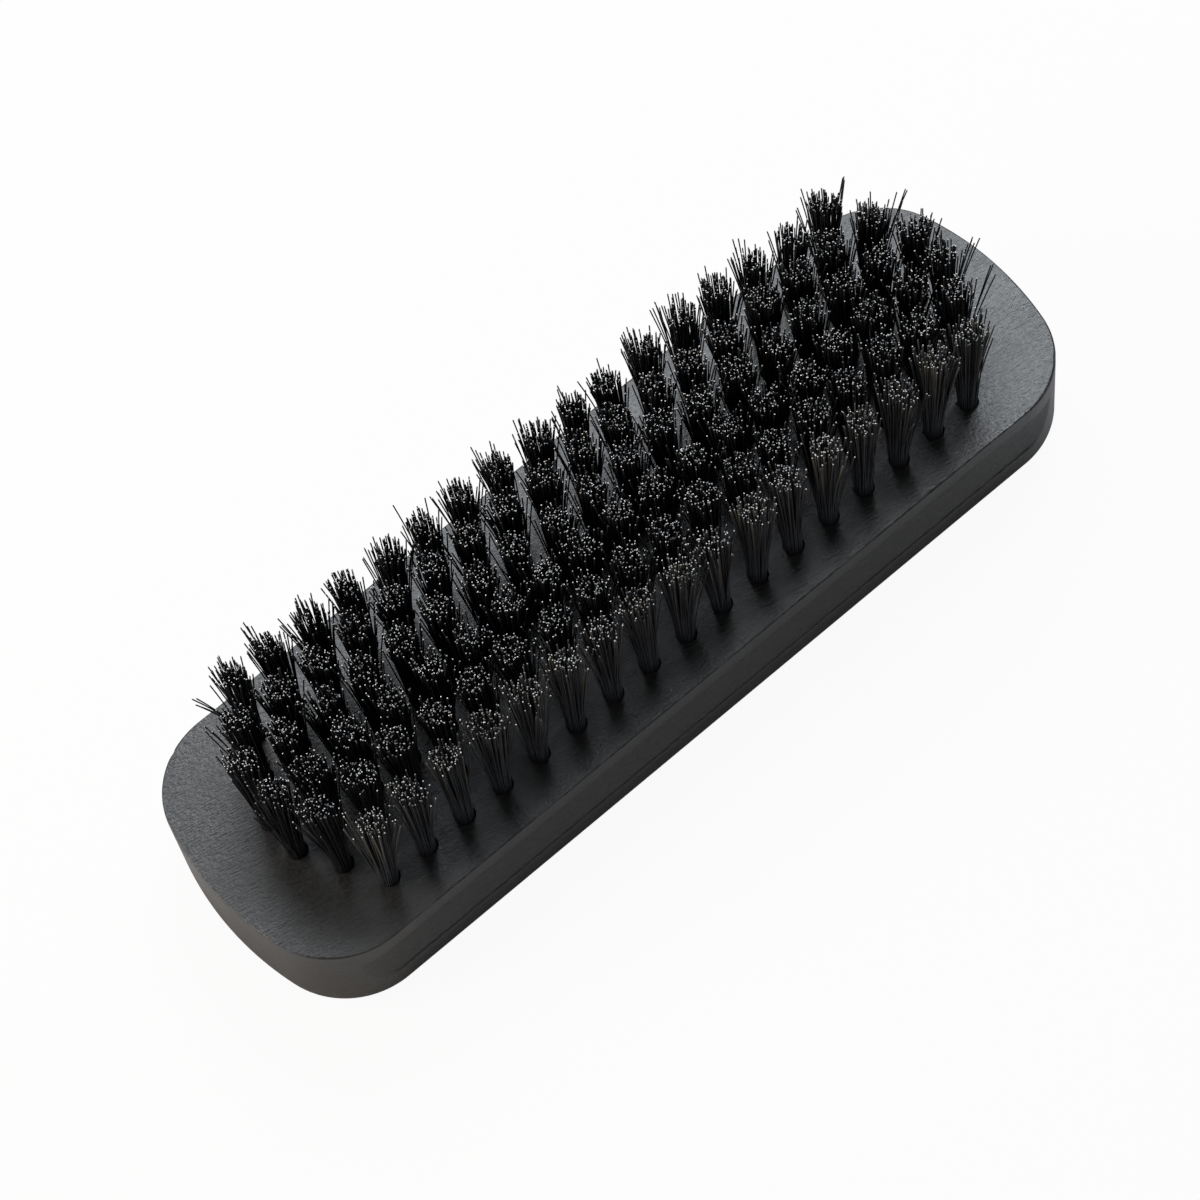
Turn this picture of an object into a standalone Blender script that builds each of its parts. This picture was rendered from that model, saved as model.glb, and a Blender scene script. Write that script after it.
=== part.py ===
"""Fabric cleaning brush: a painted wooden block lying on its flat back, with bristle tufts standing up.

Metres, +Z up, long side along X. The origin is the middle of the flat back that the brush rests on.
The block is drilled with blind holes. Each tuft is doubled over a flat anchor wire and driven into
its hole. Neighbouring tufts share one object, fused to the slice of the block's face between them.
"""

import math
import random

import bmesh
import bpy
from mathutils import Vector

# Block, seen from above: straight long sides, a shallow arc across each end, a corner arc between
BLOCK_LENGTH = 0.160
BLOCK_WIDTH = 0.0481
END_RADIUS = 0.0538
CORNER_RADIUS = 0.0144

# Block, seen from the side
BLOCK_THICKNESS = 0.0181
FACE_EDGE_RADIUS = 0.0004
BACK_EDGE_RADIUS = 0.0030

# Finger groove along each long side: drops go down from the bristle face, depths go in from the side
GROOVE_TOP_DROP = 0.0038
GROOVE_HEIGHT = 0.0081
GROOVE_DEPTH = 0.00125
GROOVE_LIP_RADIUS = 0.0008
GROOVE_LEDGE = 0.0005

# Tuft pattern: staggered rows that get one tuft shorter towards each long side
ROWS = 6
TUFTS_IN_LONGEST_ROW = 19
TUFTS_IN_GROUP = 2
SIDE_MARGIN = 0.00785
END_MARGIN = 0.0135
ROW_SPACING = (BLOCK_WIDTH - 2 * SIDE_MARGIN) / (ROWS - 1)
TUFT_PITCH = (BLOCK_LENGTH - 2 * END_MARGIN) / (TUFTS_IN_LONGEST_ROW - 1)

# One tuft: tight at its root, fanned out above its waist, and trimmed level
TUFT_DIAMETER = 0.0030
WAIST_DIAMETER = 0.0034
WAIST_HEIGHT = 0.0060
TRIM_HEIGHT = 0.0214
TRIM_SCATTER = 0.0007
TIP_GAP = 0.00125
FAN_RADIUS = min(ROW_SPACING, TUFT_PITCH) / 2 - TIP_GAP
FAN_SCATTER = 0.00022
LEAN_SCATTER = 0.0003
TIP_SHARE = 0.50
LEAN_OUT_SHARE = 0.022

# Drilled hole, and the folded root that fills it down to its anchor wire
DRILL_DEPTH = 0.0110
DRILL_POINT_ANGLE = math.radians(118)
ROOT_LENGTH = 0.0022
ROOT_WIDTH = 0.0016
ANCHOR_LENGTH = 0.0026
ANCHOR_THICKNESS = 0.0006

# Slices of the face, in a recess of their own size
SLICE_THICKNESS = 0.0015
SEAT_GAP = 0.0003
CUT_OVERRUN = 0.004

# Facets
END_STEPS = 4
CORNER_STEPS = 9
FACE_EDGE_STEPS = 2
BACK_EDGE_STEPS = 6
GROOVE_LIP_STEPS = 3
GROOVE_FLOOR_STEPS = 5
TUFT_SIDES = 8
STRANDS_IN_TUFT = TUFT_SIDES // 2
SHARP_ANGLE = math.radians(35)
SCATTER_SEED = 11

PAINT_COLOUR = (0.022, 0.023, 0.025, 1.0)
BRISTLE_COLOUR = (0.018, 0.018, 0.020, 1.0)


def clear_scene():
    for obj in list(bpy.data.objects):
        bpy.data.objects.remove(obj, do_unlink=True)


def make_material(name, colour, roughness, metallic=0.0):
    material = bpy.data.materials.new(name)
    material.use_nodes = True
    shader = material.node_tree.nodes["Principled BSDF"]
    shader.inputs["Base Color"].default_value = colour
    shader.inputs["Roughness"].default_value = roughness
    shader.inputs["Metallic"].default_value = metallic
    material.diffuse_color = colour
    return material


def make_object(name, bm, materials):
    """Turns a bmesh into an object with outward faces."""
    bmesh.ops.recalc_face_normals(bm, faces=bm.faces)
    mesh = bpy.data.meshes.new(name)
    bm.to_mesh(mesh)
    bm.free()
    for material in materials:
        mesh.materials.append(material)
    obj = bpy.data.objects.new(name, mesh)
    bpy.context.scene.collection.objects.link(obj)
    return obj


def arc(centre_x, centre_y, radius, start, end, steps):
    """Points on an arc, both ends included."""
    angles = [start + (end - start) * i / steps for i in range(steps + 1)]
    return [(centre_x + radius * math.cos(a), centre_y + radius * math.sin(a)) for a in angles]


def block_outline(inset):
    """The block's outline drawn in by inset, counter-clockwise from the middle of the +X end."""
    end_x = BLOCK_LENGTH / 2 - END_RADIUS
    corner_y = BLOCK_WIDTH / 2 - CORNER_RADIUS
    corner_x = end_x + math.sqrt((END_RADIUS - CORNER_RADIUS) ** 2 - corner_y**2)
    meet = math.atan2(corner_y, corner_x - end_x)
    quarter = arc(end_x, 0, END_RADIUS - inset, 0, meet, END_STEPS)
    quarter += arc(corner_x, corner_y, CORNER_RADIUS - inset, meet, math.pi / 2, CORNER_STEPS)[1:]
    half = quarter + [(-x, y) for x, y in reversed(quarter)]
    return half + [(x, -y) for x, y in reversed(half[1:-1])]


def block_levels():
    """(inset, height) of each outline from the bristle face down to the flat back."""
    levels = []
    for i in range(FACE_EDGE_STEPS + 1):
        turn = math.pi / 2 * i / FACE_EDGE_STEPS
        inset = FACE_EDGE_RADIUS * (1 - math.sin(turn))
        levels.append((inset, BLOCK_THICKNESS - FACE_EDGE_RADIUS * (1 - math.cos(turn))))
    for i in range(BACK_EDGE_STEPS + 1):
        turn = math.pi / 2 * i / BACK_EDGE_STEPS
        inset = BACK_EDGE_RADIUS * (1 - math.cos(turn))
        levels.append((inset, BACK_EDGE_RADIUS * (1 - math.sin(turn))))
    return levels


def bridge(bm, first, second):
    """Quads between two loops of as many points."""
    faces = []
    for i in range(len(first)):
        j = (i + 1) % len(first)
        faces.append(bm.faces.new((first[i], first[j], second[j], second[i])))
    return faces


def loop_edges(bm, loop):
    edges = []
    for i, vert in enumerate(loop):
        after = loop[(i + 1) % len(loop)]
        edges.append(bm.edges.get((vert, after)) or bm.edges.new((vert, after)))
    return edges


def fill_between(bm, outer, holes):
    """Flat faces inside the outer loop and outside the hole loops."""
    edges = loop_edges(bm, outer)
    for hole in holes:
        edges += loop_edges(bm, hole)
    found = bmesh.ops.triangle_fill(bm, edges=edges, use_beauty=True)
    return [item for item in found["geom"] if isinstance(item, bmesh.types.BMFace)]


def ring(bm, x, y, z, radius, sides, turn):
    """A round loop of points about an upright axis."""
    verts = []
    for i in range(sides):
        angle = turn + 2 * math.pi * i / sides
        verts.append(bm.verts.new((x + radius * math.cos(angle), y + radius * math.sin(angle), z)))
    return verts


def rectangle(bm, x_low, x_high, half_width, z):
    corners = ((x_high, half_width), (x_low, half_width), (x_low, -half_width), (x_high, -half_width))
    return [bm.verts.new((x, y, z)) for x, y in corners]


def build_cutter(name, bm):
    """A shape that only cuts: drawn as wires and left out of renders."""
    cutter = make_object(name, bm, [])
    cutter.hide_render = True
    cutter.display_type = "WIRE"
    return cutter


def cut(obj, cutter):
    modifier = obj.modifiers.new(cutter.name, "BOOLEAN")
    modifier.operation = "DIFFERENCE"
    modifier.solver = "EXACT"
    modifier.object = cutter


def groove_profile():
    """(depth, drop) points of the finger groove: a rounded lip, an easing floor and a sloped ledge."""
    top = GROOVE_TOP_DROP
    bottom = top + GROOVE_HEIGHT
    floor_top = top + GROOVE_LIP_RADIUS
    floor_bottom = bottom - GROOVE_LEDGE
    rise = GROOVE_DEPTH - GROOVE_LEDGE
    run = floor_bottom - floor_top
    floor_radius = (run**2 + rise**2) / (2 * rise)
    sweep = math.asin(run / floor_radius)
    lip = arc(GROOVE_DEPTH - GROOVE_LIP_RADIUS, floor_top, GROOVE_LIP_RADIUS, -math.pi / 2, 0, GROOVE_LIP_STEPS)
    floor = arc(GROOVE_DEPTH - floor_radius, floor_top, floor_radius, 0, sweep, GROOVE_FLOOR_STEPS)
    outside = -CUT_OVERRUN
    return [(outside, top)] + lip + floor[1:] + [(0, bottom), (outside, bottom)]


def build_groove_cutter(side):
    """The groove's profile pushed through from end to end, on the +Y (1) or -Y (-1) side."""
    bm = bmesh.new()
    half_length = BLOCK_LENGTH / 2 + CUT_OVERRUN
    ends = []
    for x in (-half_length, half_length):
        end = []
        for depth, drop in groove_profile():
            y = side * (BLOCK_WIDTH / 2 - depth)
            end.append(bm.verts.new((x, y, BLOCK_THICKNESS - drop)))
        ends.append(end)
        bm.faces.new(end)
    bridge(bm, *ends)
    return build_cutter("groove_cutter_left" if side > 0 else "groove_cutter_right", bm)


def tuft_rows():
    """One list of tuft centres (x, y) for each row, from the -Y side to the +Y side."""
    pattern = []
    for row in range(ROWS):
        steps_out = row - (ROWS - 1) / 2
        count = TUFTS_IN_LONGEST_ROW - int(abs(steps_out))
        y = steps_out * ROW_SPACING
        pattern.append([((i - (count - 1) / 2) * TUFT_PITCH, y) for i in range(count)])
    return pattern


def recess_half_size():
    """Half the length and half the width of the field of slices."""
    return TUFTS_IN_LONGEST_ROW * TUFT_PITCH / 2, ROWS * ROW_SPACING / 2


def build_recess_cutter():
    half_length, half_width = recess_half_size()
    floor = BLOCK_THICKNESS - SLICE_THICKNESS - SEAT_GAP
    bm = bmesh.new()
    low = rectangle(bm, -half_length, half_length, half_width, floor)
    high = rectangle(bm, -half_length, half_length, half_width, BLOCK_THICKNESS + CUT_OVERRUN)
    bm.faces.new(low)
    bm.faces.new(high)
    bridge(bm, low, high)
    return build_cutter("recess_cutter", bm)


def build_drill_cutter():
    """One drill bit for each tuft, with its pointed end."""
    radius = TUFT_DIAMETER / 2 + SEAT_GAP
    shoulder = BLOCK_THICKNESS - DRILL_DEPTH
    point = shoulder - radius / math.tan(DRILL_POINT_ANGLE / 2)
    bm = bmesh.new()
    for row in tuft_rows():
        for x, y in row:
            top = ring(bm, x, y, BLOCK_THICKNESS + CUT_OVERRUN, radius, TUFT_SIDES, 0)
            bottom = ring(bm, x, y, shoulder, radius, TUFT_SIDES, 0)
            tip = bm.verts.new((x, y, point))
            bm.faces.new(top)
            bridge(bm, bottom, top)
            for i in range(TUFT_SIDES):
                bm.faces.new((bottom[i], tip, bottom[(i + 1) % TUFT_SIDES]))
    return build_cutter("drill_cutter", bm)


def build_block(paint):
    """The painted block, with its grooves, its shallow recess and its blind holes."""
    bm = bmesh.new()
    loops = []
    for inset, z in block_levels():
        loops.append([bm.verts.new((x, y, z)) for x, y in block_outline(inset)])
    for first, second in zip(loops, loops[1:]):
        bridge(bm, first, second)
    bm.faces.new(loops[0])
    bm.faces.new(loops[-1])
    block = make_object("wooden_block", bm, [paint])
    cut(block, build_groove_cutter(1))
    cut(block, build_groove_cutter(-1))
    cut(block, build_recess_cutter())
    cut(block, build_drill_cutter())
    block.data.shade_smooth()
    block.data.set_sharp_from_angle(angle=SHARP_ANGLE)
    return block


def add_strand(bm, base, tip_centre):
    """One tapered four-sided strand that grows from a kite of the tuft's waist to its cut tip."""
    middle = sum((vert.co for vert in base), Vector()) / len(base)
    tip = [bm.verts.new(tip_centre + (vert.co - middle) * TIP_SHARE) for vert in base]
    bridge(bm, base, tip)
    bm.faces.new(tip)


def add_root(bm, x):
    """The folded root under the slice, down to its anchor wire. Returns its upper loop."""
    top_z = -SLICE_THICKNESS
    bottom_z = -DRILL_DEPTH + SEAT_GAP
    upper = rectangle(bm, x - ROOT_LENGTH / 2, x + ROOT_LENGTH / 2, ROOT_WIDTH / 2, top_z)
    lower = rectangle(bm, x - ANCHOR_LENGTH / 2, x + ANCHOR_LENGTH / 2, ANCHOR_THICKNESS / 2, bottom_z)
    bridge(bm, upper, lower)
    bm.faces.new(lower)
    return upper


def add_tuft(bm, x, place, scatter):
    """One tuft above the face, at x in its group and place on the block. Returns its lowest loop."""
    turn = scatter.uniform(0, math.pi / 2)
    lean = Vector((place[0], place[1], 0)) * LEAN_OUT_SHARE
    lean += Vector((scatter.uniform(-1, 1), scatter.uniform(-1, 1), 0)) * LEAN_SCATTER
    foot = ring(bm, x, 0, 0, TUFT_DIAMETER / 2, TUFT_SIDES, turn)
    waist = ring(bm, x, 0, WAIST_HEIGHT, WAIST_DIAMETER / 2, TUFT_SIDES, turn)
    heart = bm.verts.new((x, 0, WAIST_HEIGHT))
    bridge(bm, foot, waist)
    for strand in range(STRANDS_IN_TUFT):
        corners = [waist[(2 * strand + i) % TUFT_SIDES] for i in range(3)]
        angle = turn + 2 * math.pi * (strand + 1 / 2) / STRANDS_IN_TUFT
        reach = FAN_RADIUS + scatter.uniform(-1, 1) * FAN_SCATTER
        height = TRIM_HEIGHT - scatter.uniform(0, 1) * TRIM_SCATTER
        out = Vector((reach * math.cos(angle), reach * math.sin(angle), 0))
        add_strand(bm, [heart] + corners, Vector((x, 0, height)) + out + lean)
    return foot


def build_tuft_group(name, tufts, low, high, materials, scatter):
    """A few tufts of one row on their slice of the face, which runs from low to high along X."""
    centre_x = (low + high) / 2
    y = tufts[0][1]
    half_width = (ROW_SPACING - SEAT_GAP) / 2
    ends = (low - centre_x + SEAT_GAP / 2, high - centre_x - SEAT_GAP / 2)
    bm = bmesh.new()
    top = rectangle(bm, *ends, half_width, 0)
    bottom = rectangle(bm, *ends, half_width, -SLICE_THICKNESS)
    feet = [add_tuft(bm, x - centre_x, (x, y), scatter) for x, y in tufts]
    roots = [add_root(bm, x - centre_x) for x, y in tufts]
    wood = bridge(bm, top, bottom)
    wood += fill_between(bm, top, feet)
    wood += fill_between(bm, bottom, roots)
    for face in wood:
        face.material_index = 1
    group = make_object(name, bm, materials)
    group.location = (centre_x, y, BLOCK_THICKNESS)
    group.data.shade_smooth()
    group.data.set_sharp_from_angle(angle=SHARP_ANGLE)
    return group


def build_bristles(bristle, paint):
    """All tufts, row by row, in groups of neighbours. An odd tuft joins its row's last group."""
    scatter = random.Random(SCATTER_SEED)
    row_end, _ = recess_half_size()
    for row_number, row in enumerate(tuft_rows(), start=1):
        starts = list(range(0, len(row) - 1, TUFTS_IN_GROUP))
        for start, after in zip(starts, starts[1:] + [len(row)]):
            tufts = row[start:after]
            low = -row_end if start == 0 else tufts[0][0] - TUFT_PITCH / 2
            high = row_end if after == len(row) else tufts[-1][0] + TUFT_PITCH / 2
            name = f"tufts_row_{row_number}_{start + 1:02d}_{after:02d}"
            build_tuft_group(name, tufts, low, high, [bristle, paint], scatter)


def main():
    clear_scene()
    paint = make_material("satin_black_paint", PAINT_COLOUR, 0.45)
    bristle = make_material("synthetic_bristle", BRISTLE_COLOUR, 0.40)
    build_block(paint)
    build_bristles(bristle, paint)


main()
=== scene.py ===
"""Fabric cleaning brush: a painted wooden block and its bristle tufts, dressed round the CAD frame.

Metres, +Z up, long side along X, lying on its flat back with the bristles up. The block is one closed
mesh with its finger grooves and drilled holes. Every filament is a closed tube that runs from one cut
end down into its hole, round where its anchor wire lies and up to its other cut end.
"""

import math

import bmesh
import bpy
import numpy as np
from mathutils import Matrix, Vector


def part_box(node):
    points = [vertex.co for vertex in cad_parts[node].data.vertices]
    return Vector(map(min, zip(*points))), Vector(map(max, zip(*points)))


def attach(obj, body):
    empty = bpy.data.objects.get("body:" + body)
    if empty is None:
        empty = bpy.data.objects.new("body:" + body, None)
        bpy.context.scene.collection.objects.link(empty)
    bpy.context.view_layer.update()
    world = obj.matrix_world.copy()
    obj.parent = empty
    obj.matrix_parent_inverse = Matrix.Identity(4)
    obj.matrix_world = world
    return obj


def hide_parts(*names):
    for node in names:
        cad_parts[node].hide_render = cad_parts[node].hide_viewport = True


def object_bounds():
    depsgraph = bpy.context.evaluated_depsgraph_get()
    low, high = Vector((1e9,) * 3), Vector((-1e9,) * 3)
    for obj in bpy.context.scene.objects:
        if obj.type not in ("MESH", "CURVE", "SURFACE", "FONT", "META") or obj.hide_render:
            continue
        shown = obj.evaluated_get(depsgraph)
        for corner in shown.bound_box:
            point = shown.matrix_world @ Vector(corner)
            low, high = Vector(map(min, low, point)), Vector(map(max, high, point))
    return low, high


bl_info = {
    "name": "Fabric Cleaning Brush",
    "version": (1, 0, 0),
    "blender": (4, 5, 0),
    "location": "3D View > Sidebar > Brush",
    "description": "Builds a painted hand brush with its bristle tufts, and a plain studio round it",
    "category": "Add Mesh",
}

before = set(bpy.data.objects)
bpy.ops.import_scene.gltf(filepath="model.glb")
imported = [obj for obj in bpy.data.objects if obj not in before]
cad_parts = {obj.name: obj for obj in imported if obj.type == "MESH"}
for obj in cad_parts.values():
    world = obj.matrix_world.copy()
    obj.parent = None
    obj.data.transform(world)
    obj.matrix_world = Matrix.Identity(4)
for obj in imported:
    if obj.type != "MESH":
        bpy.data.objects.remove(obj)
CAD_LOW, CAD_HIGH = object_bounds()
BLOCK_LOW, BLOCK_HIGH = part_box("wooden_block")
MM = 0.001

# Facets of the block
END_STEPS = 14
CORNER_STEPS = 64
SIDE_STEPS = 84
FACE_EDGE_STEPS = 6
LAND_STEPS = 5
CREST_STEPS = 8
GROOVE_LIP_STEPS = 6
GROOVE_FLOOR_STEPS = 14
LEDGE_STEPS = 3
BAND_STEPS = 3
BACK_EDGE_STEPS = 18
HOLE_SIDES = 24
MERGE_DISTANCE = 0.002 * MM

# The face edge was sanded by hand: waves of wear as (along X, along Y, start, share of the usual),
# and more of it towards +X
WEAR_WAVES = ((210, 90, 0.8, 0.25), (520, -330, 2.1, 0.18))
WEAR_BY_LENGTH = 2.5

# Small dents in the face edge: place seen from above, reach and depth
EDGE_NICKS = (
    ((74.9 * MM, -19.9 * MM), 0.7 * MM, 0.22 * MM),
    ((-70.6 * MM, 22.9 * MM), 0.8 * MM, 0.16 * MM),
    ((-79.2 * MM, 6.5 * MM), 0.6 * MM, 0.10 * MM),
    ((31.0 * MM, -24.3 * MM), 0.6 * MM, 0.08 * MM),
)
NICK_FALLOFF = 2

# Facets of a filament, and where along its free length each ring of points lies
FILAMENT_SIDES = 5
FOLD_STEPS = 4
RING_SHARES = (0.0, 0.13, 0.29, 0.47, 0.65, 0.83, 1.0)

# How far the middle of a cut end stands out, as a share of the filament's radius
CUT_END_DOME = 0.35

# Room for one filament where they cross the face, in diameters: from ring to ring, and along a ring
RING_PITCH = 1.1
ARC_PITCH = 1.42

# A tuft stands a little off the middle of its hole
ROOT_SHIFT = np.array([-0.12, 0.04]) * MM
ROOT_SWAY = 0.02 * MM

# The way an anchor wire lies, from X
WIRE_TURN = math.radians(50)
WIRE_TURN_SCATTER = math.radians(18)

# How filaments spread on their way up. A pair is the least and the most, and names in _MM are millimetres.
# Within MIDDLE_RADIUS of a tuft's middle, a loose filament is pushed out less.
SEED = 7
TUFT_FULLNESS = (0.77, 1.20)
TUFT_LEAN = 0.34 * MM
TIP_SCATTER = 0.24 * MM
LOOSE_SHARE = 0.36
LOOSE_REACH_MM = (0.2, 2.4)
MIDDLE_RADIUS = 0.1 * MM
HELD_BY_WIRE = 0.38
BEND_POWER = 1.4
SWELL = 0.12 * MM

# Where they are cut: from tuft to tuft, from filament to filament, and the few that are short or tall
TUFT_TRIM_SCATTER = 0.2 * MM
TRIM_SCATTER = 0.25 * MM
TRIM_LOSS = 0.22 * MM
SHORT_SHARE = 0.05
SHORT_BY_MM = (0.5, 2.4)
TALL_SHARE = 0.04
TALL_BY_MM = (0.5, 2.2)
LEAST_HEIGHT = 3 * MM

# Stray bundles of 3 to 6 filaments, by where the tuft stands: the chance of one, and the least and the
# most millimetres that it leans. The left end of a calm row, one of the first, doesn't count as an end.
# A few more filaments stray alone.
CALM_ROWS = 2
STRAY_BUNDLES = {"end": (0.9, 2.8, 5.6), "side": (0.30, 1.5, 4.0), "inside": (0.10, 1.5, 3.5)}
BUNDLE_COUNT = (3, 7)
BUNDLE_TURN = math.radians(18)
BUNDLE_RAGGED = (0.75, 1.1)
BUNDLE_MIX = 0.35 * MM
BUNDLE_SCATTER = 0.30 * MM
END_SIDEWAYS = 0.2
LONE_SHARE = 0.012
LONE_LEAN = 2.0 * MM
STRAY_SPREAD = 0.5

# Filaments have one of so many tones, and strays only the darker ones. A tone times one of the shuffles
# is cut to its fraction, so that one number gives further draws.
TONES = 64
STRAY_TONE = 0.3
# Which filaments take the painted sheen is drawn with this shuffle
SHEEN_SHUFFLE = 7.31
TINT_SHUFFLE = 3.17

# The filaments' map has a column for each tone: its used part (start, width), the sides (start, height)
# and, above them, the cut ends (low, high)
MAP_COLUMN = (0.1, 0.8)
MAP_SIDES = (0.03, 0.84)
MAP_ENDS = (0.92, 0.98)

# The paint: features a metre along X, Y and Z, the grain's turn off the long axis, and depths of relief
STREAKS = (260, 2600, 2600)
GRIT = (1500, 2000, 2000)
SMUDGES = (70, 110, 70)
PEEL = (3200, 3200, 3200)
GRAIN_TURN = math.radians(-12)
STREAK_DEPTH = 0.105 * MM
GRIT_DEPTH = 0.095 * MM
PEEL_DEPTH = 0.006 * MM

# How levels of the raised grain and of the smudges turn into shares of colour and into roughness
STREAK_SHARE = 0.45
GRIT_SHARE = 0.55
GRAIN_LEVELS = (0.40, 0.64)
RUBBED_SHARES = (0.0, 0.90)
SMUDGE_LEVELS = (0.45, 0.75)
SMUDGED_SHARES = (0.0, 0.30)
SATIN_LEVELS = (0.30, 0.70)
PAINT_ROUGHNESS = (0.40, 0.46)
GRAIN_ROUGHNESS = (-0.06, 0.06)
PAINT_SPECULAR = 0.9

# Specks of dust: how close they could lie, the patches that have them, and how far they hide the paint
DUST_PER_METRE = 260.0
DUST_PATCHES = (190, 190, 190)
DUST_SIZE = 0.032
DUST_LEVEL = 0.60
DUST_COVER = 0.7
DUST_COLOUR = (0.30, 0.30, 0.29)

# Painted light and shade by row, as (how much of the pale tint a filament may take, its brightness): the
# near row catches the light, and the other rows get a darker copy of the bristle colour as painted shade
NEAR_ROW = 1
NEAR_ROW_LIT_LOOK = (0.85, 1.0)
SHADED_ROWS_LOOK = (0.05, 0.5)

# The draws that give a filament its painted sheen, a pale tint standing in for the light on its upper
# length, the shares of its free length over which the sheen comes in and over which its root, painted
# greyer to lift the shade at the foot of the tuft, fades out, and how bright its cut end is
SHEEN_DRAWS = (0.35, 1.0)
SHEEN_POWER = 1.8
SHEEN_HEIGHTS = (0.25, 0.70)
LIT_ROOT_HEIGHTS = (0.10, 0.50)
# Painted light: how much greyer the root is painted, to lift the shade at the foot of the tuft
LIT_ROOT_GAIN = 2.2
FILAMENT_ROUGHNESS = (0.42, 0.56)
FILAMENT_SPECULAR = 0.08
CUT_END_SHARES = (0.10, 1.0)
CUT_END_POWER = 1.65
CUT_END_ROUGHNESS = 0.5
CUT_END_SPECULAR = 0.3
CUT_END_TINTS = ((0.0, (1.0, 0.93, 0.80)), (0.5, (1, 1, 1)), (1.0, (0.84, 0.93, 1.0)))

# How white the floor and the sky are to the camera, and in what shines
FLOOR_SEEN_WHITE = 0.94
FLOOR_SHINE_WHITE = 0.05
SKY_SEEN_WHITE = 1.0
SKY_SHINE_WHITE = 0.0
WHITE = (1, 1, 1)

# The floor's faint patches: how many a metre along X, Y and Z, and how bright the darker ones are
FLOOR_PATCHES = (3, 3, 3)
FLOOR_MOTTLE = 0.97
FLOOR_SIDES = 96

# Lamps: where each stands from the middle of the bristle face, its size and its tint
COOL = (0.90, 0.95, 1.0)
WARM = (1.0, 0.90, 0.80)
LAMPS = {
    "softbox": ((0.36, 0.37, 0.74), (0.74, 0.48), COOL),
    "side_softbox": ((-0.62, 0.36, 0.36), (0.50, 0.50), WARM),
    "fill_softbox": ((-0.30, -0.50, 1.06), (0.70, 0.70), COOL),
}

# The camera: where it is, the way it looks, and what lies to its right
CAMERA_PLACE = Vector((-0.143672, -0.233149, 0.516975))
CAMERA_AHEAD = Vector((0.243291, 0.406758, -0.880544))
CAMERA_RIGHT = Vector((0.753238, -0.651185, -0.092692))
CAMERA_SENSOR = 36.0
CAMERA_CLIP = (0.01, 20.0)


class BlockSettings(bpy.types.PropertyGroup):
    """The painted wooden block."""

    end_radius: bpy.props.FloatProperty(
        name="End radius", description="Radius of the shallow arc across each end",
        default=53.8 * MM, subtype="DISTANCE", unit="LENGTH",
    )
    corner_radius: bpy.props.FloatProperty(
        name="Corner radius", description="Radius of the corners seen from above",
        default=14.4 * MM, subtype="DISTANCE", unit="LENGTH",
    )
    face_edge_radius: bpy.props.FloatProperty(
        name="Face edge", description="Rounding of the edge round the bristle face",
        default=0.30 * MM, subtype="DISTANCE", unit="LENGTH",
    )
    back_edge_radius: bpy.props.FloatProperty(
        name="Back edge", description="Rounding of the edge round the flat back",
        default=3.0 * MM, subtype="DISTANCE", unit="LENGTH",
    )
    groove_top_drop: bpy.props.FloatProperty(
        name="Groove drop", description="From the bristle face down to the finger groove",
        default=4.0 * MM, subtype="DISTANCE", unit="LENGTH",
    )
    groove_height: bpy.props.FloatProperty(
        name="Groove height", description="Height of the finger groove",
        default=7.9 * MM, subtype="DISTANCE", unit="LENGTH",
    )
    groove_depth: bpy.props.FloatProperty(
        name="Groove depth", description="How deep the finger groove is cut",
        default=1.5 * MM, subtype="DISTANCE", unit="LENGTH",
    )
    groove_lip_radius: bpy.props.FloatProperty(
        name="Groove lip", description="Rounding inside the groove's upper edge",
        default=0.35 * MM, subtype="DISTANCE", unit="LENGTH",
    )
    groove_ledge: bpy.props.FloatProperty(
        name="Groove ledge", description="Depth that is left at the groove's lower edge",
        default=0.25 * MM, subtype="DISTANCE", unit="LENGTH",
    )
    crest_radius: bpy.props.FloatProperty(
        name="Groove crest", description="Softened edge where the side wall meets the groove",
        default=1.1 * MM, subtype="DISTANCE", unit="LENGTH",
    )
    hole_diameter: bpy.props.FloatProperty(
        name="Hole", description="Diameter of the drilled holes",
        default=3.25 * MM, subtype="DISTANCE", unit="LENGTH",
    )
    hole_chamfer: bpy.props.FloatProperty(
        name="Hole rim", description="Broken edge round each hole",
        default=0.08 * MM, subtype="DISTANCE", unit="LENGTH",
    )
    drill_depth: bpy.props.FloatProperty(
        name="Drill depth", description="Depth of the holes to the drill's shoulder",
        default=11.0 * MM, subtype="DISTANCE", unit="LENGTH",
    )
    drill_point: bpy.props.FloatProperty(
        name="Drill point", description="Full angle of the drill's point",
        default=math.radians(118), subtype="ANGLE",
    )
    paint: bpy.props.FloatVectorProperty(
        name="Paint", description="Colour of the black paint",
        default=(0.0060, 0.0062, 0.0066), subtype="COLOR", min=0, max=1,
    )
    rubbed_paint: bpy.props.FloatVectorProperty(
        name="Rubbed paint", description="Colour of the paint over the raised grain",
        default=(0.026, 0.0265, 0.0275), subtype="COLOR", min=0, max=1,
    )


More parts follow.
